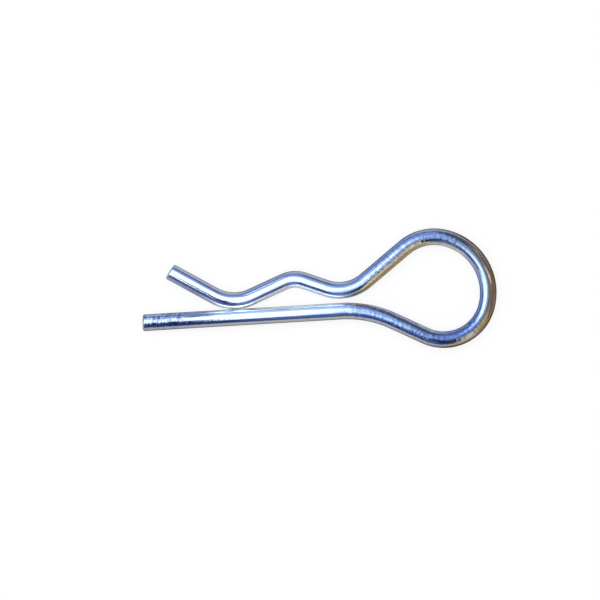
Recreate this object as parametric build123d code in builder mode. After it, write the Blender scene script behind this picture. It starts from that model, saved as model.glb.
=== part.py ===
from build123d import *
import os

# Hitch pin clip (R clip): one length of round spring wire, cut off and bent flat.
# Millimetres. X runs along the straight leg towards the spring loop, Y from the straight
# leg towards the humped leg, and Z is up. The clip lies flat, and the origin is under the
# middle of its outline, on the surface that it lies on.

wire_diameter = 3.05
tip_rounding = 0.35

straight_leg_length = 36.5
lead_in_length = 9.2

# The bends in the order in which the wire goes through the forming tool, from the tip of
# the straight leg to the tip of the humped leg. Each is the straight wire fed before the
# bend, the angle of the bend in degrees, anticlockwise as seen from above, and its radius
# on the wire's axis.
bends = [
    (straight_leg_length, -28.0, 20.0),  # the straight leg leans out into the loop
    (6.5, 100.5, 8.1),  # loop, near side
    (0, 92.0, 10.3),  # loop, end
    (0, 52.5, 8.5),  # loop, far side
    (9.3, -59.0, 7.5),  # waist, where the legs come together
    (4.3, 43.5, 4.9),  # hump, which sits over the pin
    (6.5, -53.5, 7.8),  # dip, which closes on the straight leg
]

wire_radius = wire_diameter / 2


def draw_wire_axis(tip_x, tip_y):
    """The wire's axis in a plane one wire radius up, from the straight leg's tip at the given place."""
    place = Vector(tip_x, tip_y, wire_radius)
    heading = Vector(1, 0, 0)
    with BuildLine() as axis:
        for feed, angle, radius in bends:
            if feed > 0:
                place = Line(place, place + heading * feed) @ 1
            bend = JernArc(start=place, tangent=heading, radius=radius, arc_size=angle)
            place = bend @ 1
            heading = bend % 1
        Line(place, place + heading * lead_in_length)
    return axis.line


# A first drawing from the origin gives the outline's size, and the second is centred by it.
# The straight leg's cut face is one end of the outline, and the loop's outside is the other.
trial = draw_wire_axis(0, 0).bounding_box()
tip_x = -(trial.max.X + wire_radius) / 2
tip_y = -(trial.min.Y + trial.max.Y) / 2
wire_axis = draw_wire_axis(tip_x, tip_y)

with BuildPart() as clip_wire:
    with BuildSketch(Plane(origin=wire_axis @ 0, z_dir=wire_axis % 0)):
        Circle(wire_radius)
    sweep(path=wire_axis)
    # Shearing and tumbling leave the edges of both cut faces round.
    cut_faces = clip_wire.faces().filter_by(GeomType.PLANE)
    fillet(cut_faces.edges(), radius=tip_rounding)

clip_wire.part.label = "clip_wire"

os.makedirs("parts", exist_ok=True)
export_step(clip_wire.part, "parts/clip_wire.step")

outline = clip_wire.part.bounding_box()
print("outline", outline.size, "from", outline.min, "to", outline.max)
wire_length = sum(edge.length for edge in wire_axis.edges())
print("wire length", round(wire_length, 2), "volume", round(clip_wire.part.volume, 2))
print("straight leg's tip", round(tip_x, 3), round(tip_y, 3))
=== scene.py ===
# %% [markdown]
# # A hitch pin clip in bright zinc plate
#
# A hitch pin clip, or R clip, is one length of spring wire. It is cut off, bent flat on a forming
# tool and plated. One leg stays straight and goes through the hole of a pin, and the other leg
# springs over the pin's outside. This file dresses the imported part: the frame gives the wire's
# thickness and its place, and each cell below adds one step of the looks.

# %% Load the frame
import math

import bpy
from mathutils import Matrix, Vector


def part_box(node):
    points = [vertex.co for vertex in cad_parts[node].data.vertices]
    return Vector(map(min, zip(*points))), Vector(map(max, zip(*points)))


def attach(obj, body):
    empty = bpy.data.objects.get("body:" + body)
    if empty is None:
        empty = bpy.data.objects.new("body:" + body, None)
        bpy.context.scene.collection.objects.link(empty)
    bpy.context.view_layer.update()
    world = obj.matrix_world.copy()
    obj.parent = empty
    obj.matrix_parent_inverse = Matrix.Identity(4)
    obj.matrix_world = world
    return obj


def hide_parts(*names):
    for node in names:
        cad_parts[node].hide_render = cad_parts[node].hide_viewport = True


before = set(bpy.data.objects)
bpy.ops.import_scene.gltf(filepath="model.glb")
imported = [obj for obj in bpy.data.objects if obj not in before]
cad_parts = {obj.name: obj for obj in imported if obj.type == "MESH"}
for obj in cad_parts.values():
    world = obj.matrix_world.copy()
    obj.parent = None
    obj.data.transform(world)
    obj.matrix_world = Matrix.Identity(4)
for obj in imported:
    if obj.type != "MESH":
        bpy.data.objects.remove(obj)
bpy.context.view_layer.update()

wire_low, wire_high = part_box("clip_wire")
wire_radius = (wire_high.z - wire_low.z) / 2
print("wire radius in metres:", round(wire_radius, 6))

# %% [markdown]
# Blender works in metres, but a wire's sizes are easier to read in millimetres, so one constant
# turns one into the other. Colours are written as hex values, as on a paint chart, and one function
# turns them into the linear values that a shader needs. A last small function adds a node together
# with its settings and the links into it, so that a node tree reads as a list of steps. A node that
# feeds another is passed as it is, and then its first output in use is the one that is linked.

# %% Small helpers
MM = 0.001


def linear(hex_colour):
    """An sRGB hex colour as linear red, green and blue with a full alpha."""
    parts = [int(hex_colour[i:i + 2], 16) / 255 for i in (1, 3, 5)]
    return [p / 12.92 if p <= 0.04045 else ((p + 0.055) / 1.055) ** 2.4 for p in parts] + [1.0]


def add(tree, kind, inputs=None, **settings):
    """Adds a node. inputs maps a socket's name or number to a value, an output or a node."""
    node = tree.nodes.new(kind)
    for name, value in settings.items():
        setattr(node, name, value)
    for key, value in (inputs or {}).items():
        if isinstance(value, bpy.types.Node):
            value = next(output for output in value.outputs if output.enabled)
        if isinstance(value, bpy.types.NodeSocket):
            tree.links.new(value, node.inputs[key])
        else:
            node.inputs[key].default_value = value
    return node


print("bright zinc in linear values:", [round(part, 3) for part in linear("#AFB7C9")])

# %% [markdown]
# ## The camera
#
# The clip lies flat and the camera looks straight down on it, turned a few degrees, so that the
# straight leg runs a little uphill to the right. A long lens from half a metre keeps the round wire
# free of perspective. The camera comes first, because it decides what the lights have to show.

# %% Camera
SENSOR_WIDTH = 36.0
CAMERA_DISTANCE = 0.5
VIEW_WIDTH = 0.11008
VIEW_CENTRE = Vector((-0.003523, -0.000662, wire_radius))
VIEW_TURN = math.radians(-3.372)
NEAREST_SEEN, FURTHEST_SEEN = 0.01, 20.0

camera_data = bpy.data.cameras.new("camera")
camera_data.sensor_width = SENSOR_WIDTH
camera_data.lens = CAMERA_DISTANCE * SENSOR_WIDTH / VIEW_WIDTH
camera_data.clip_start = NEAREST_SEEN
camera_data.clip_end = FURTHEST_SEEN
camera = bpy.data.objects.new("camera", camera_data)
camera.location = VIEW_CENTRE + Vector((0, 0, CAMERA_DISTANCE))
camera.rotation_euler = (0, 0, VIEW_TURN)
scene = bpy.context.scene
scene.collection.objects.link(camera)
scene.camera = camera
scene.view_settings.view_transform = "Standard"
print("lens, mm:", round(camera_data.lens, 1))

# %% [markdown]
# ## The wire's axis
#
# A wire former is set with a bend table: how much straight wire to feed, then how far to bend it
# and round what radius. The same table draws the axis here, as straight runs and true arcs, from
# the straight leg's tip to the lead-in's tip. A freehand curve would be quicker to draw, but its
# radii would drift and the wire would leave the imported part.

# %% The bend table
LEAD_IN = 9.2
# millimetres of straight wire, degrees anticlockwise from above, millimetres of radius
BENDS = [
    (36.5, -28.0, 20.0),  # the straight leg leans out into the loop
    (6.5, 100.5, 8.1),  # loop, near side
    (0, 92.0, 10.3),  # loop, end
    (0, 52.5, 8.5),  # loop, far side
    (9.3, -59.0, 7.5),  # waist, where the legs come together
    (4.3, 43.5, 4.9),  # hump, which sits over the pin
    (6.5, -53.5, 7.8),  # dip, which closes on the straight leg
    (LEAD_IN, 0, 1),
]
WIRE_LENGTH = sum(feed + abs(math.radians(angle)) * radius for feed, angle, radius in BENDS)


def axis_at(distance):
    """The axis's place at a distance along the wire, in millimetres, with the first tip at 0, 0."""
    place, heading = Vector((0.0, 0.0)), 0.0
    for feed, degrees, radius in BENDS:
        step = min(distance, feed)
        place += step * Vector((math.cos(heading), math.sin(heading)))
        distance -= step
        arc = min(distance, abs(math.radians(degrees)) * radius)
        side = math.copysign(radius, degrees)
        centre = place + side * Vector((-math.sin(heading), math.cos(heading)))
        heading += arc / side
        if arc > 0:
            place = centre + side * Vector((math.sin(heading), -math.cos(heading)))
        distance -= arc
    return place


print("wire length, mm:", round(WIRE_LENGTH, 2), "lead-in tip:", axis_at(WIRE_LENGTH))

# %% [markdown]
# The skin of the wire is made of rings round the axis. They lie close and even along the wire, so
# that small marks can be pressed into the mesh, and closer still at both tips, where a ring has to
# follow the domed cut face and the rounded edge round it.

# %% Where the rings are
EDGE_ROUNDING = 0.35
FACE_DOMING = 0.06
RING_STEP = 0.12
DOME_RINGS = 9
EDGE_RINGS = 8
FIRST_RING = 0.25  # of a step from the tip, because a ring right at the tip would have no size

tip_places = [FACE_DOMING * ((i + FIRST_RING) / DOME_RINGS) ** 2 for i in range(DOME_RINGS)]
tip_places += [
    FACE_DOMING + EDGE_ROUNDING * (1 - math.cos(math.pi / 2 * i / EDGE_RINGS))
    for i in range(EDGE_RINGS + 1)
]
leg_start, leg_end = tip_places[-1] + RING_STEP, WIRE_LENGTH - tip_places[-1] - RING_STEP
leg_rings = round((leg_end - leg_start) / RING_STEP)
ring_places = tip_places + [
    leg_start + (leg_end - leg_start) * i / leg_rings for i in range(leg_rings + 1)
]
ring_places += [WIRE_LENGTH - place for place in reversed(tip_places)]
print("rings:", len(ring_places), "of them at each tip:", len(tip_places))

# %% [markdown]
# The table starts at 0, 0, so the axis is shifted until its tip and its lowest side meet the packed
# wire's box. Each axis point keeps its distance along the wire as an attribute, so that no later
# step depends on the order of the points.

# %% The axis as a mesh
axis_points = [axis_at(place) for place in ring_places]
to_frame = Vector((
    wire_low.x / MM,
    wire_low.y / MM + wire_radius / MM - min(point.y for point in axis_points),
))
axis_mesh = bpy.data.meshes.new("hitch_clip_wire")
axis_mesh.from_pydata(
    [(*((point + to_frame) * MM), wire_radius) for point in axis_points],
    [(i, i + 1) for i in range(len(axis_points) - 1)],
    [],
)
along = axis_mesh.attributes.new("along", "FLOAT", "POINT")
along.data.foreach_set("value", [place * MM for place in ring_places])
wire = bpy.data.objects.new("hitch_clip_wire", axis_mesh)
scene.collection.objects.link(wire)
print("shift into the frame, mm:", [round(part, 3) for part in to_frame])

# %% [markdown]
# ## The skin of the wire, in Geometry Nodes
#
# A main piece that follows a path suits Geometry Nodes: a circle is carried along the axis, and its
# size at each ring comes from a rule. A bevelled curve would give a plain tube with less work, but
# not the cut faces or the marks that the tools left. The sizes are named inputs, so the same tree
# could dress another wire.

# %% The tree's named inputs
SIZES = [
    ("Wire Radius", "NodeSocketFloat", wire_radius),
    ("Wire Length", "NodeSocketFloat", WIRE_LENGTH * MM),
    ("Sides", "NodeSocketInt", 56),
    ("Edge Rounding", "NodeSocketFloat", EDGE_ROUNDING * MM),
    ("Face Doming", "NodeSocketFloat", FACE_DOMING * MM),
    ("Shear Slant", "NodeSocketFloat", 0.05),
    ("Plating Ripple", "NodeSocketFloat", 0.008 * MM),
    ("Grip Mark Depth", "NodeSocketFloat", 0.05 * MM),
    ("Nick Depth", "NodeSocketFloat", 0.2 * MM),
]

tree = bpy.data.node_groups.new("formed_wire", "GeometryNodeTree")
tree.interface.new_socket("Geometry", in_out="INPUT", socket_type="NodeSocketGeometry")
tree.interface.new_socket("Geometry", in_out="OUTPUT", socket_type="NodeSocketGeometry")
size_inputs = []
for name, kind, value in SIZES:
    size_inputs.append(tree.interface.new_socket(name, in_out="INPUT", socket_type=kind))
    size_inputs[-1].default_value = value
finish_input = tree.interface.new_socket("Finish", in_out="INPUT", socket_type="NodeSocketMaterial")
given = add(tree, "NodeGroupInput").outputs
print("inputs:", [size.name for size in size_inputs], finish_input.name)

# %% [markdown]
# Only the last half millimetre at either end is not a plain round wire, so the rule for a ring's
# size starts from its distance to the nearer tip.

# %% Distance to the nearer tip
distance = add(tree, "GeometryNodeInputNamedAttribute", {"Name": "along"}, data_type="FLOAT")
to_lead_in = add(tree, "ShaderNodeMath", {0: given["Wire Length"], 1: distance}, operation="SUBTRACT")
nearer = add(tree, "ShaderNodeMath", {0: distance, 1: to_lead_in}, operation="MINIMUM")
from_tip = add(tree, "ShaderNodeMath", {0: nearer, 1: 0.0}, operation="MAXIMUM")
print("nodes so far:", len(tree.nodes))

# %% [markdown]
# Away from the tips a ring has the wire's own radius. At a tip it starts from almost nothing and
# opens as the cut face domes. Then it turns over the rounded edge, which shearing and tumbling leave
# on a cropped wire. The dome is a parabola and the edge a quarter circle, so a square root draws
# each of them, and the two add up to the ring's radius.

# %% Ring sizes
flat_radius = add(
    tree, "ShaderNodeMath",
    {0: given["Wire Radius"], 1: given["Edge Rounding"]},
    operation="SUBTRACT",
)
up_the_dome = add(
    tree, "ShaderNodeMath",
    {0: from_tip, 1: given["Face Doming"]},
    operation="DIVIDE", use_clamp=True,
)
dome = add(tree, "ShaderNodeMath", {0: up_the_dome}, operation="SQRT")
face_part = add(tree, "ShaderNodeMath", {0: flat_radius, 1: dome}, operation="MULTIPLY")

past_dome = add(tree, "ShaderNodeMath", {0: from_tip, 1: given["Face Doming"]}, operation="SUBTRACT")
into_edge = add(
    tree, "ShaderNodeMath",
    {0: past_dome, 1: given["Edge Rounding"]},
    operation="DIVIDE", use_clamp=True,
)
left = add(tree, "ShaderNodeMath", {0: 1.0, 1: into_edge}, operation="SUBTRACT")
squared = add(tree, "ShaderNodeMath", {0: left, 1: left}, operation="MULTIPLY")
under_arc = add(tree, "ShaderNodeMath", {0: 1.0, 1: squared}, operation="SUBTRACT", use_clamp=True)
rounded = add(tree, "ShaderNodeMath", {0: under_arc}, operation="SQRT")
edge_part = add(
    tree, "ShaderNodeMath", {0: given["Edge Rounding"], 1: rounded}, operation="MULTIPLY"
)
ring_radius = add(tree, "ShaderNodeMath", {0: face_part, 1: edge_part}, operation="ADD")
ring_scale = add(
    tree, "ShaderNodeMath", {0: ring_radius, 1: given["Wire Radius"]}, operation="DIVIDE"
)
print("nodes so far:", len(tree.nodes))

# %% [markdown]
# The axis becomes a curve, and a circle is carried along it. The curve's normal is kept upright, so
# the circle never twists. Two attributes go along for later: the axis's heading at each ring, and
# each point's place on the circle.

# %% Carry the circle along the axis
rail = add(tree, "GeometryNodeMeshToCurve", {"Mesh": given["Geometry"]})
rail = add(tree, "GeometryNodeSetCurveNormal", {"Curve": rail}, mode="Z_UP")
rail = add(
    tree, "GeometryNodeStoreNamedAttribute",
    {"Geometry": rail, "Name": "heading", "Value": add(tree, "GeometryNodeInputTangent")},
    data_type="FLOAT_VECTOR", domain="POINT",
)
circle = add(
    tree, "GeometryNodeCurvePrimitiveCircle",
    {"Resolution": given["Sides"], "Radius": given["Wire Radius"]},
)
circle = add(
    tree, "GeometryNodeStoreNamedAttribute",
    {"Geometry": circle, "Name": "across", "Value": add(tree, "GeometryNodeInputPosition")},
    data_type="FLOAT_VECTOR", domain="POINT",
)
skin = add(
    tree, "GeometryNodeCurveToMesh",
    {"Curve": rail, "Profile Curve": circle, "Scale": ring_scale, "Fill Caps": True},
)
print("nodes so far:", len(tree.nodes))

# %% [markdown]
# A point's place on the circle and its distance along the wire give its place on the straight wire,
# as it was before bending. Marks from drawing, gripping and plating are laid out in that space, so
# they run along and round the wire through every bend. An unwrapped map would do the same, but it
# has a seam along the wire, and a pattern breaks there.

# %% Each point's place on the unbent wire
across = add(
    tree, "GeometryNodeInputNamedAttribute", {"Name": "across"}, data_type="FLOAT_VECTOR"
)
across_x, across_y, _ = add(tree, "ShaderNodeSeparateXYZ", {0: across}).outputs
# the circle's own axes point right and down, seen along the wire
turned = add(tree, "ShaderNodeMath", {0: ring_scale, 1: -1.0}, operation="MULTIPLY")
leftwards = add(tree, "ShaderNodeMath", {0: across_x, 1: turned}, operation="MULTIPLY")
upwards = add(tree, "ShaderNodeMath", {0: across_y, 1: turned}, operation="MULTIPLY")
unbent = add(tree, "ShaderNodeCombineXYZ", {0: distance, 1: leftwards, 2: upwards})
skin = add(
    tree, "GeometryNodeStoreNamedAttribute",
    {"Geometry": skin, "Name": "unbent", "Value": unbent},
    data_type="FLOAT_VECTOR", domain="POINT",
)
print("nodes so far:", len(tree.nodes))

# %% [markdown]
# ## The marks that the tools left
#
# Marks need two things: a grain, and a limit to where it shows. The grain is noise with the sizes of
# one mark along and round the wire. The limit is a share from 0 to 1 that eases in and out, because
# no mark on a real wire starts at a sharp line. A wire's marks mostly keep to a stretch of it, so a
# third helper gives the two limits of a stretch.

# %% Helpers for marks
def grain(tree, place, size_along, size_round, detail, start=(0, 0, 0)):
    """Noise of 0 to 1 whose grains have the given sizes along and round the wire, in metres.

    A fixed start moves the pattern along, as a seed would.
    """
    squeeze = Vector((1 / size_along, 1 / size_round, 1 / size_round))
    squeezed = add(
        tree, "ShaderNodeVectorMath",
        {0: place, 1: squeeze, 2: Vector(start)},
        operation="MULTIPLY_ADD",
    )
    return add(tree, "ShaderNodeTexNoise", {"Vector": squeezed, "Scale": 1.0, "Detail": detail})


def eased(tree, *limits, low=0.0, high=1.0):
    """A share from low to high. Each limit is a value, where it starts and where it is full."""
    share = None
    for value, start, full in limits:
        within = add(
            tree, "ShaderNodeMapRange",
            {"Value": value, "From Min": start, "From Max": full, "To Min": low, "To Max": high},
            interpolation_type="SMOOTHSTEP",
        )
        low, high = 0.0, 1.0
        if share is not None:
            within = add(tree, "ShaderNodeMath", {0: share, 1: within}, operation="MULTIPLY")
        share = within
    return share


def stretch(along, start, end, fade):
    """The two limits of a stretch of wire, which fades over the given length at both ends."""
    return (along, start - fade, start + fade), (along, end + fade, end - fade)


print("one stretch is limited so:", stretch("along", 1.0, 6.0, 0.5))

# %% [markdown]
# Bright plating is never quite level, and a ripple of a few micrometres is enough to make a
# reflection waver. The fingers of the former leave shallow cross marks where they gripped the
# straight leg's end. The forming rollers leave fainter ones round the loop. Real marks are finer
# than a tenth of a millimetre, and they are drawn at about a millimetre so that they show.

# %% Ripple and grip marks
SEED_PLACE = (0.7, 0.2, 0.4)
RIPPLE_GRAIN = (1.6 * MM, 1.2 * MM)
GRIP_GRAIN = (0.5 * MM, 0.9 * MM)
GRIPPED_STRETCH = (1.2 * MM, 6.2 * MM)
GRIP_FADE = 0.8 * MM
ROLLED_STRETCHES = [(37 * MM, 65 * MM), (80 * MM, 101 * MM)]
ROLLED_FADE = 3 * MM
ROLLED_DEPTH = 0.45

place = add(tree, "GeometryNodeInputNamedAttribute", {"Name": "unbent"}, data_type="FLOAT_VECTOR")
gripped = eased(tree, *stretch(distance, *GRIPPED_STRETCH, GRIP_FADE))
for start, end in ROLLED_STRETCHES:
    rolled = eased(tree, *stretch(distance, start, end, ROLLED_FADE), high=ROLLED_DEPTH)
    gripped = add(tree, "ShaderNodeMath", {0: gripped, 1: rolled}, operation="ADD")
grip_depth = add(
    tree, "ShaderNodeMath", {0: given["Grip Mark Depth"], 1: gripped}, operation="MULTIPLY"
)
height = 0.0
for (size_along, size_round), depth in [
    (RIPPLE_GRAIN, given["Plating Ripple"]),
    (GRIP_GRAIN, grip_depth),
]:
    noise = grain(tree, place, size_along, size_round, 1.0, SEED_PLACE)
    level = add(tree, "ShaderNodeMath", {0: noise, 1: 0.5}, operation="SUBTRACT")
    height = add(tree, "ShaderNodeMath", {0: level, 1: depth, 2: height}, operation="MULTIPLY_ADD")
print("nodes so far:", len(tree.nodes))

# %% [markdown]
# The former's centre pin struck the loop's inner side and left three nicks close together. Each is a
# small oval dent: deepest where the distance to its middle is nothing, and gone where that distance
# reaches its size.

# %% Nicks
# millimetres along the wire, then the height up the loop's inner side in wire radii
NICKS = [(61.5, 0.62), (62.3, 0.4), (63.2, 0.7)]
NICK_SIZE = Vector((0.3, 0.6, 0.6)) * MM

for nick_along, nick_up in NICKS:
    nick_in = math.sqrt(1 - nick_up ** 2)
    middle = Vector((nick_along * MM, nick_in * wire_radius, nick_up * wire_radius))
    away = add(tree, "ShaderNodeVectorMath", {0: place, 1: middle}, operation="SUBTRACT")
    away = add(tree, "ShaderNodeVectorMath", {0: away, 1: NICK_SIZE}, operation="DIVIDE")
    away = add(tree, "ShaderNodeVectorMath", {0: away}, operation="LENGTH")
    dent = add(
        tree, "ShaderNodeMath",
        {0: eased(tree, (away, 1.0, 0.0)), 1: given["Nick Depth"]},
        operation="MULTIPLY",
    )
    height = add(tree, "ShaderNodeMath", {0: height, 1: dent}, operation="SUBTRACT")
print("nicks:", len(NICKS), "nodes so far:", len(tree.nodes))

# %% [markdown]
# A cropping shear leaves the cut face a few degrees out of square, so the rings next to a tip lean:
# each point slides along the wire by a share of how far it is to the left. The marks move a point
# out or in instead, so the two moves are added and made in one step.

# %% Lean the cut faces and press the marks in
LEAN_LENGTH = 1.4 * MM

near_tip = eased(tree, (from_tip, LEAN_LENGTH, 0.0))
lean = add(tree, "ShaderNodeMath", {0: leftwards, 1: given["Shear Slant"]}, operation="MULTIPLY")
lean = add(tree, "ShaderNodeMath", {0: lean, 1: near_tip}, operation="MULTIPLY")
heading = add(
    tree, "GeometryNodeInputNamedAttribute", {"Name": "heading"}, data_type="FLOAT_VECTOR"
)
slide = add(tree, "ShaderNodeVectorMath", {0: heading, "Scale": lean}, operation="SCALE")
outwards = add(tree, "GeometryNodeInputNormal")
lift = add(tree, "ShaderNodeVectorMath", {0: outwards, "Scale": height}, operation="SCALE")
move = add(tree, "ShaderNodeVectorMath", {0: lift, 1: slide}, operation="ADD")
skin = add(tree, "GeometryNodeSetPosition", {"Geometry": skin, "Offset": move})
print("nodes so far:", len(tree.nodes))

# %% [markdown]
# The attributes that only the tree needed are dropped, and `unbent` stays for the finish. The last
# two steps are Realize Instances and Set Material, so that what leaves the tree is one real mesh
# with its finish on it.

# %% Finish the tree
for name in ("heading", "across", "along"):
    skin = add(tree, "GeometryNodeRemoveAttribute", {"Geometry": skin, "Name": name})
skin = add(tree, "GeometryNodeSetShadeSmooth", {"Geometry": skin, "Shade Smooth": True})
skin = add(tree, "GeometryNodeRealizeInstances", {"Geometry": skin})
skin = add(tree, "GeometryNodeSetMaterial", {"Geometry": skin, "Material": given["Finish"]})
add(tree, "NodeGroupOutput", {0: skin})
print("nodes in all:", len(tree.nodes))

# %% [markdown]
# ## The finish: bright zinc plate, clear blue passivated
#
# A zinc plated clip starts as drawn spring steel. The plating bath lays down a few micrometres of
# bright zinc, and a dip in a clear chromate passivate seals it. The zinc is a mirror with a faint
# blue cast, and the passivate is a film as thin as a soap bubble's skin. Zinc is a metal, so the
# shader is fully metallic and keeps the default IOR. The blue, straw, bronze, beige and near-white
# tints below are painted reflections and painted shade, laid on by the side a surface faces and by
# stretches of the wire. The film is a tint of the metal's own colour, which also exports cleanly,
# and it is built up as a list of layers: how much of each one shows, and its colour.

# %% The material and its places
# directions for painted reflections: a side is coloured by which way it faces
PAINTED_REFLECTION_SIDES = {
    "warm_reflection": (0.9, -0.42, -0.1),  # the side that carries the painted warm reflections
    "outer": (1.0, 0.1, -0.15),
    "near": (0.1, -1.0, 0.0),
}

zinc = bpy.data.materials.new("bright_zinc_blue_passivate")
zinc.use_nodes = True
looks = zinc.node_tree
looks.nodes.clear()
unbent_place = add(looks, "ShaderNodeAttribute", attribute_name="unbent").outputs["Vector"]
place_along, place_left, _ = add(looks, "ShaderNodeSeparateXYZ", {0: unbent_place}).outputs
object_space = add(looks, "ShaderNodeTexCoord").outputs
place_x = add(looks, "ShaderNodeSeparateXYZ", {0: object_space["Object"]}).outputs[0]
# each side's share of facing, which places the painted reflections below
facing = {
    side: add(
        looks, "ShaderNodeVectorMath",
        {0: object_space["Normal"], 1: Vector(direction).normalized()},
        operation="DOT_PRODUCT",
    )
    for side, direction in PAINTED_REFLECTION_SIDES.items()
}
layers = []
print("sides that a tint may face:", list(facing))

# %% [markdown]
# The ground is clear passivate over zinc, a pale blue grey. A painted blue reflection darkens the
# side away from the warm one, and painted blue shade dims the highlight on a short stretch of the loop.

# %% Clear film, painted blue reflection and painted shade
CLEAR_FILM = linear("#AFB7C9")
PAINTED_SHADE_STRETCH = (55 * MM, 64 * MM)
STRETCH_FADE = 2 * MM

# painted reflection: darker blue on the sides that face away from the warm reflections
layers.append((eased(looks, (facing["warm_reflection"], -0.3, -0.95)), linear("#6F87BC")))
# painted shade: a darker blue that dims the highlight on a short stretch of the loop's inner side
painted_blue_shade = eased(
    looks,
    (place_left, -0.6 * wire_radius, 0.1 * wire_radius),
    *stretch(place_along, *PAINTED_SHADE_STRETCH, STRETCH_FADE),
    high=0.7,
)
layers.append((painted_blue_shade, linear("#6A7DB2")))
print("layers:", len(layers))

# %% [markdown]
# Along the straight leg, and again from the hump to the lead-in, a painted highlight makes the
# side that faces the other leg almost white. Where the wire comes out of the loop's far side the
# painted highlight is only a warm grey.

# %% Painted highlights between the legs
PAINTED_HIGHLIGHT_STRETCHES = [
    (13 * MM, 39 * MM, "#F2F9FF"),
    (79 * MM, 92 * MM, "#D6D0BE"),
    (103 * MM, 131 * MM, "#F2F9FF"),
]

# painted highlight: near-white, or warm grey, on the side that faces the other leg
for start, end, colour in PAINTED_HIGHLIGHT_STRETCHES:
    painted_highlight = eased(
        looks,
        (place_left, 0.15 * wire_radius, 0.5 * wire_radius),
        *stretch(place_along, start, end, STRETCH_FADE),
    )
    layers.append((painted_highlight, linear(colour)))
print("layers:", len(layers))

# %% [markdown]
# Where the former gripped and rolled the wire, zinc grows in on a rougher base, and dark blue specks
# show through. Their real size is a few hundredths of a millimetre, which would not show, so they
# are drawn at more than half a millimetre. The same limits serve later for the bump.

# %% Specks where the wire was worked
WORKED_TIP = (-2 * MM, 8 * MM)
WORKED_TIP_FADE = 1.5 * MM
SPECK_GRAIN = (0.6 * MM, 0.9 * MM)
SPECK_FROM, SPECK_FULL = 0.42, 0.6  # of the noise, so that about half of it is speck
ROLLED_SPECKS = 0.5

worked = eased(looks, *stretch(place_along, *WORKED_TIP, WORKED_TIP_FADE))
for start, end in ROLLED_STRETCHES:
    rolled = eased(looks, *stretch(place_along, start, end, ROLLED_FADE), high=ROLLED_SPECKS)
    worked = add(looks, "ShaderNodeMath", {0: worked, 1: rolled}, operation="ADD", use_clamp=True)
speck_noise = grain(looks, unbent_place, *SPECK_GRAIN, 3.0)
speck = eased(looks, (speck_noise, SPECK_FROM, SPECK_FULL), high=0.7)
specks = add(looks, "ShaderNodeMath", {0: worked, 1: speck}, operation="MULTIPLY")
layers.append((specks, linear("#4F66A4")))
print("layers:", len(layers))

# %% [markdown]
# Painted reflections of warm surroundings lie on the loop. They go from straw to bronze towards
# the loop's outer side. A thinner painted brown edge, a dark reflection, follows the wire's outer
# side round the loop, and the whole near side has a painted beige reflection.

# %% Painted straw, bronze and beige reflections
LOOP_START, LOOP_MIDDLE = 16 * MM, 26 * MM
BROWN_EDGE_STRETCH = (54 * MM, 84 * MM)
BROWN_EDGE_FADE = 5 * MM

# painted reflection: straw on the side that faces the warm surroundings, strongest in the loop
straw_reflection_side = eased(looks, (facing["warm_reflection"], 0.1, 0.6))
straw_reflection_end = eased(looks, (place_x, 0.0, LOOP_START), low=0.3)
straw_reflection = add(looks, "ShaderNodeMath", {0: straw_reflection_side, 1: straw_reflection_end}, operation="MULTIPLY")
layers.append((straw_reflection, linear("#A8966A")))
# painted reflection: bronze on the loop's outer side
bronze_reflection = eased(looks, (facing["outer"], 0.44, 0.68), (place_x, LOOP_START, LOOP_MIDDLE))
layers.append((bronze_reflection, linear("#6A5838")))
# painted reflection: a beige cast on the near side
beige_reflection = eased(looks, (facing["near"], 0.35, 0.8), (place_left, 0.0, -0.3 * wire_radius), high=0.6)
layers.append((beige_reflection, linear("#AAA390")))
# painted reflection: a dark brown edge along the wire's outer side round the loop
brown_edge_reflection = eased(
    looks,
    (place_left, -0.64 * wire_radius, -0.82 * wire_radius),
    *stretch(place_along, *BROWN_EDGE_STRETCH, BROWN_EDGE_FADE),
)
layers.append((brown_edge_reflection, linear("#6A5838")))
print("layers:", len(layers))

# %% [markdown]
# The nicks went through the plating, and the steel in them has darkened. Over everything the film
# has faint clouds, a few millimetres long, where drops of passivate dried.

# %% Dark nicks and faint clouds
SCAR_PLACE = Vector((62.4 * MM, 0.8 * wire_radius, 0.6 * wire_radius))
SCAR_EDGE, SCAR_CORE = 0.7 * MM, 0.3 * MM
CLOUD_GRAIN = (5 * MM, 1.5 * MM)

from_scar = add(
    looks, "ShaderNodeVectorMath", {0: unbent_place, 1: SCAR_PLACE}, operation="DISTANCE"
)
scar = eased(looks, (from_scar, SCAR_EDGE, SCAR_CORE), (speck_noise, SPECK_FROM, SPECK_FULL))
layers.append((scar, linear("#2C2426")))
cloud = eased(looks, (grain(looks, unbent_place, *CLOUD_GRAIN, 2.0), 0.4, 0.7), high=0.3)
layers.append((cloud, linear("#8F9CC4")))
print("layers:", len(layers))

# %% [markdown]
# The cut faces are bare steel with a thin zinc flash, and the shear's blade dragged fine lines
# across them. They are one and a half millimetres long and drawn a little coarser than real ones.

# %% Cut faces
CUT_DEPTH, CUT_FADE = 0.2 * MM, 0.1 * MM
SHEAR_LINE_PITCH, SHEAR_LINE_LENGTH = 0.15 * MM, 1.5 * MM

plated = eased(looks, *stretch(place_along, CUT_DEPTH, WIRE_LENGTH * MM - CUT_DEPTH, CUT_FADE))
cut = add(looks, "ShaderNodeMath", {0: 1.0, 1: plated}, operation="SUBTRACT")
line_squeeze = Vector((0, 1 / SHEAR_LINE_PITCH, 1 / SHEAR_LINE_LENGTH))
squeezed = add(looks, "ShaderNodeVectorMath", {0: unbent_place, 1: line_squeeze}, operation="MULTIPLY")
line_noise = add(looks, "ShaderNodeTexNoise", {"Vector": squeezed, "Scale": 1.0})


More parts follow.
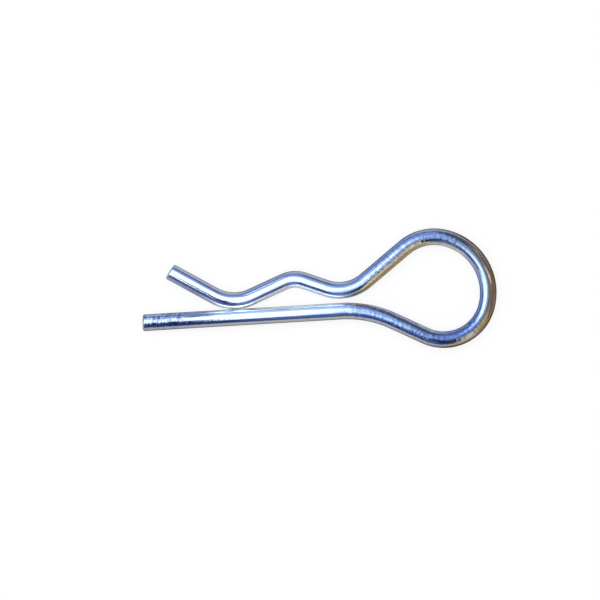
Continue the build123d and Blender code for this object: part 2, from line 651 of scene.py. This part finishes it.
def layered(tree, ground, tints):
    """A ground colour with tints laid over it in turn, each given as its share and its colour."""
    for share, tint in tints:
        ground = add(tree, "ShaderNodeMix", {0: share, 6: ground, 7: tint}, data_type="RGBA")
    return ground


steel = layered(looks, linear("#8A8F9C"), [(eased(looks, (line_noise, 0.4, 0.6)), linear("#B4B9C4"))])
layers.append((cut, steel))
# base colour: the clear film with its specks, clouds, nicks and cut faces, plus the painted reflections,
# shade and highlights
film_and_painted_reflections = layered(looks, CLEAR_FILM, layers)
print("layers:", len(layers))

# %% [markdown]
# Bright zinc has a roughness of 0.1 to 0.2, and sheared steel about twice that. The plating follows
# the drawn wire's skin, so a low bump makes the highlight's edges waver, and most of all where the
# wire was worked. The grain of both is again drawn coarser than real, to show at this size.

# %% Roughness, bump and the shader
POLISH_GRAIN = (1.2 * MM, 0.5 * MM)
PEEL_GRAIN = (0.55 * MM, 0.9 * MM)
PEEL_HEIGHT = 0.05 * MM
CUT_ROUGHNESS = 0.22

polish_noise = grain(looks, unbent_place, *POLISH_GRAIN, 2.0)
polish = eased(looks, (polish_noise, 0.35, 0.7), low=0.11, high=0.2)
rough_cut = eased(looks, (cut, 0.0, 1.0), high=CUT_ROUGHNESS)
roughness = add(looks, "ShaderNodeMath", {0: polish, 1: rough_cut}, operation="ADD")
peel = add(
    looks, "ShaderNodeBump",
    {
        "Strength": eased(looks, (worked, 0.0, 0.5), low=0.35),
        "Distance": PEEL_HEIGHT,
        "Height": grain(looks, unbent_place, *PEEL_GRAIN, 3.0),
    },
)
metal = add(
    looks, "ShaderNodeBsdfPrincipled",
    {
        "Base Color": film_and_painted_reflections,
        "Metallic": 1.0,
        "Roughness": roughness,
        "Specular Tint": linear("#7A7A84"),  # a metal's tint at a grazing angle
        "Normal": peel,
    },
)
add(looks, "ShaderNodeOutputMaterial", {"Surface": metal})
print("nodes in the finish:", len(looks.nodes))

# %% [markdown]
# The modifier's inputs are set by the sockets' identifiers before the object is first evaluated.
# Then the evaluated result becomes a plain mesh, and the modifier goes. The wire rides on the clip's
# one body and stands for the imported wire, which is hidden.

# %% Make the wire a plain mesh
modifier = wire.modifiers.new("formed_wire", "NODES")
modifier.node_group = tree
for size in size_inputs:
    modifier[size.identifier] = size.default_value
modifier[finish_input.identifier] = zinc
evaluated = wire.evaluated_get(bpy.context.evaluated_depsgraph_get())
formed = bpy.data.meshes.new_from_object(evaluated)
wire.modifiers.clear()
wire.data = formed
print("vertices:", len(formed.vertices), "faces:", len(formed.polygons))
print("attributes:", [a.name for a in formed.attributes], "materials:", formed.materials[:])

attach(wire, "root")
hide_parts("clip_wire")

# %% [markdown]
# ## The studio
#
# The clip lies on a white sheet under one big soft light. The sheet is part lit paper and part even
# white, so that it stays white behind the clip and still holds a faint shadow where the wire rests.
# What the camera sees white, the metal mirrors as white too. Light for everything else comes from
# the lamp and a dimmer world.

# %% Helpers for the studio
def seen_directly(tree):
    """1 for rays from the camera, from a mirror finish or through glass, and 0 for all others."""
    ray = add(tree, "ShaderNodeLightPath").outputs
    mirrored = add(
        tree, "ShaderNodeMath",
        {0: ray["Is Glossy Ray"], 1: ray["Is Transmission Ray"]},
        operation="ADD",
    )
    return add(
        tree, "ShaderNodeMath",
        {0: ray["Is Camera Ray"], 1: mirrored},
        operation="ADD", use_clamp=True,
    )


def empty_material(name):
    """A new material with no nodes yet."""
    material = bpy.data.materials.new(name)
    material.use_nodes = True
    material.node_tree.nodes.clear()
    return material


def studio_panel(name, corners, material):
    """A flat sheet that belongs to the studio."""
    mesh = bpy.data.meshes.new(name)
    mesh.from_pydata(corners, [], [range(len(corners))])
    mesh.materials.append(material)
    panel = bpy.data.objects.new(name, mesh)
    scene.collection.objects.link(panel)
    return panel


print("studio helpers ready, and the clip's underside is at", round(wire_low.z, 6), "metres")

# %% [markdown]
# Paper is a plain diffuse surface. The even white is light that only the camera and the mirror
# finish see, so it brightens the sheet and throws nothing back on the wire.

# %% The white sheet
SHEET_SIZE = 3.0
EVEN_WHITE = 0.8
SHEET_GAP = 0.01 * MM

white_sheet = empty_material("white_sheet")
looks = white_sheet.node_tree
share = add(looks, "ShaderNodeMath", {0: seen_directly(looks), 1: EVEN_WHITE}, operation="MULTIPLY")
paper = add(looks, "ShaderNodeBsdfDiffuse", {"Color": linear("#F8F8F8")})
even = add(looks, "ShaderNodeEmission", {"Color": linear("#FFFFFF"), "Strength": 1.0})
mixed = add(looks, "ShaderNodeMixShader", {0: share, 1: paper, 2: even})
add(looks, "ShaderNodeOutputMaterial", {"Surface": mixed})

half = SHEET_SIZE / 2
sheet_z = wire_low.z - SHEET_GAP
sheet_corners = [(-half, -half), (half, -half), (half, half), (-half, half)]
studio_panel("floor", [(x, y, sheet_z) for x, y in sheet_corners], white_sheet)
print("sheet's height, metres:", round(sheet_z, 6))

# %% [markdown]
# The world is white to the camera and about half as bright as a light. The lamp is a metre wide, so
# its shadow under a 3 mm wire is soft. The wire doesn't mirror the lamp: its highlights come from
# the cards in the next step.

# %% World and lamp
WORLD_LIGHT = 0.45
LAMP_SIZE = 1.0
LAMP_WATTS = 6.5
LAMP_PLACE = (-0.15, 0.1, 0.8)

world = bpy.data.worlds.new("studio")
scene.world = world
world.use_nodes = True
looks = world.node_tree
looks.nodes.clear()
brightness = eased(looks, (seen_directly(looks), 0.0, 1.0), low=WORLD_LIGHT)
white = add(looks, "ShaderNodeBackground", {"Color": linear("#FFFFFF"), "Strength": brightness})
add(looks, "ShaderNodeOutputWorld", {"Surface": white})

lamp = bpy.data.lights.new("soft_light", "AREA")
lamp.shape = "SQUARE"
lamp.size = LAMP_SIZE
lamp.energy = LAMP_WATTS
soft_light = bpy.data.objects.new("soft_light", lamp)
soft_light.location = LAMP_PLACE
soft_light.visible_glossy = False
scene.collection.objects.link(soft_light)
print("lamp's height, metres:", soft_light.location.z)

# %% [markdown]
# ## The light tent
#
# A mirror finish shows its surroundings, so bright wire is lit with cards close round it, as in a
# small light tent. Only reflections see the cards: they cast no shadow and light nothing else. All
# but the first glow in one even colour. Round wire squeezes the whole tent into thin bands along its
# length, so a card's edge becomes the edge of a band. The cards' places are in millimetres.

# %% Helpers for cards
TENT_HEIGHT = 60
TENT_REACH = 260


def card(name, corners, material):
    """A card that only reflections see, from its corners in millimetres."""
    panel = studio_panel(name, [Vector(corner) * MM for corner in corners], material)
    panel.visible_camera = False
    panel.visible_diffuse = False
    panel.visible_shadow = False
    panel.visible_transmission = False
    return panel


def even_card(colour, strength=1.0):
    """The material of a card of one even colour."""
    material = empty_material("card")
    glow = add(material.node_tree, "ShaderNodeEmission", {"Color": linear(colour), "Strength": strength})
    add(material.node_tree, "ShaderNodeOutputMaterial", {"Surface": glow})
    return material


def raised(places, drop=0):
    """Corners of a level card over the clip, which hangs a little under the others if it drops."""
    return [(x, y, TENT_HEIGHT - drop) for x, y in places]


def overhead(left, right, near, far, drop=0):
    """Corners of a four-sided level card over the clip, from where its edges are."""
    return raised([(left, near), (right, near), (right, far), (left, far)], drop)


def upright(start, end):
    """Corners of a card that stands on the sheet between two places."""
    return [(*start, 0), (*end, 0), (*end, TENT_HEIGHT), (*start, TENT_HEIGHT)]


print("tent, mm:", 2 * TENT_REACH, "square,", TENT_HEIGHT, "high")

# %% [markdown]
# The big card overhead is the one that makes the metal read as bright. It has a white, oval middle,
# which gives the wire its long highlight, and fades through pale blue to the navy of the bands beside
# it. A Mapping node turns places on the card into the oval's own: 0 at its centre and 1 at its rim.

# %% The sky card
OVAL_CENTRE = Vector((-64, -2, TENT_HEIGHT)) * MM
OVAL_TURN = math.radians(16)
OVAL_SIZE = (84 * MM, 54 * MM, 1.0)

sky = empty_material("sky_card")
looks = sky.node_tree
spot = add(looks, "ShaderNodeTexCoord").outputs["Object"]
spot_x, spot_y, _ = add(looks, "ShaderNodeSeparateXYZ", {0: spot}).outputs
spread = add(
    looks, "ShaderNodeMapping",
    {"Vector": spot, "Location": OVAL_CENTRE, "Rotation": (0, 0, OVAL_TURN), "Scale": OVAL_SIZE},
    vector_type="TEXTURE",
)
from_centre = add(looks, "ShaderNodeVectorMath", {0: spread}, operation="LENGTH")
sky_tints = [
    (eased(looks, (spot_x, -50 * MM, 40 * MM)), linear("#93A6C8")),
    (eased(looks, (from_centre, 2.0, 3.6)), linear("#6F88BC")),
    (eased(looks, (spot_y, 50 * MM, -30 * MM)), linear("#4C5C8C")),
    (eased(looks, (from_centre, 1.9, 1.15)), linear("#A7C6FA")),
    (eased(looks, (from_centre, 1.12, 0.85)), linear("#F0FAFF")),
]
glow = add(
    looks, "ShaderNodeEmission",
    {
        "Color": layered(looks, linear("#BCD7FD"), sky_tints),
        "Strength": eased(looks, (from_centre, 0.8, 1.2), low=2.8, high=1.3),
    },
)
add(looks, "ShaderNodeOutputMaterial", {"Surface": glow})
card("sky_card", overhead(-TENT_REACH, 38, -TENT_REACH, TENT_REACH), sky)
print("nodes in the sky card:", len(looks.nodes))

# %% [markdown]
# Dark cards hang just under the sky card and cut into it. They give the crisp navy line along the
# highlight, which is what tells the eye that the wire is polished and not just pale.

# %% Blue and navy cards
card("dusk_card_left", overhead(-34, -24, 36, 120, drop=1), even_card("#7F98CE"))
card("navy_card_left", overhead(-42, -21, -110, -10.5, drop=1), even_card("#33427A"))
card("navy_card_near", overhead(-21, -14, -110, -34, drop=1), even_card("#46588C"))
card("violet_card_left", overhead(-120, -42, -150, -34, drop=1), even_card("#6C7298"))
card("navy_card_middle", overhead(-14, 12, -110, -36, drop=1), even_card("#7088BC"))
card("navy_card_right", overhead(12, 36, -80, -18, drop=1), even_card("#3C5082"))
dark_corners = [(20, -12), (27, -16), (41, -45), (52, -110), (26, -110), (19, -48)]
card("dark_card_right", raised(dark_corners, drop=2), even_card("#2C3C5C"))

# %% [markdown]
# To the right the tent turns warm, with taupe, slate and khaki cards. They put straw and brown
# reflections into the loop, beside the straw and bronze reflections painted into the film.

# %% Warm cards
card("taupe_card", overhead(38, TENT_REACH, -TENT_REACH, 36), even_card("#9F8871"))
card("slate_card", overhead(40, TENT_REACH, 36, TENT_REACH), even_card("#6C7280"))
khaki_corners = [(28, -13), (80, -20), (TENT_REACH, -160), (70, -TENT_REACH), (41, -45)]
card("khaki_card", raised(khaki_corners, drop=1), even_card("#F0DCA8"))
cream_corners = [(31, -17), (42, -22), (78, -70), (160, -200), (108, -200), (44, -45)]
card("cream_card", raised(cream_corners, drop=2), even_card("#FFEEC0", 1.7))

# %% [markdown]
# A few small cards set single highlights: a pale one for the far side of the legs, an azure one for
# the bend into the loop, a grey and a dim one that calm the loop's inner side, and two warm strips
# that draw thin bright lines on the loop's far side.

# %% Small cards for single highlights
card("pale_card_left", overhead(-76, -35, 44, 112, drop=1), even_card("#D8E8FF", 2.2))
card("umber_card", overhead(27.5, 40, -9, 6, drop=3), even_card("#979790"))
azure_corners = [(4, -12), (19.5, -16), (19.5, -5), (14, -1.5), (4, 1)]
card("azure_card", raised(azure_corners, drop=3), even_card("#CCF4FF", 2.1))
card("dim_card", overhead(10, 20, 0, 12, drop=1), even_card("#A4B6D2"))
card("gold_strip", overhead(82, 104, 48, 62, drop=1), even_card("#FFE7A8", 1.8))
card("straw_strip", overhead(60, 112, 8, 18, drop=1), even_card("#FFF0C8", 1.8))

# %% [markdown]
# Low walls close the tent on three sides, tan to the right and blue at the back and the left. The
# wire's rims mirror them. The near side stays open to the white world.

# %% Walls
card("tan_wall", upright((TENT_REACH, -TENT_REACH), (TENT_REACH, TENT_REACH)), even_card("#B39C7C"))
card("violet_wall", upright((TENT_REACH, TENT_REACH), (-TENT_REACH, TENT_REACH)), even_card("#A4B0D0"))
card("blue_wall", upright((-TENT_REACH, TENT_REACH), (-TENT_REACH, 0)), even_card("#8298CC"))

# %% [markdown]
# ## The last step
#
# The last line brings the view layer up to date.

# %% Update the view layer
bpy.context.view_layer.update()
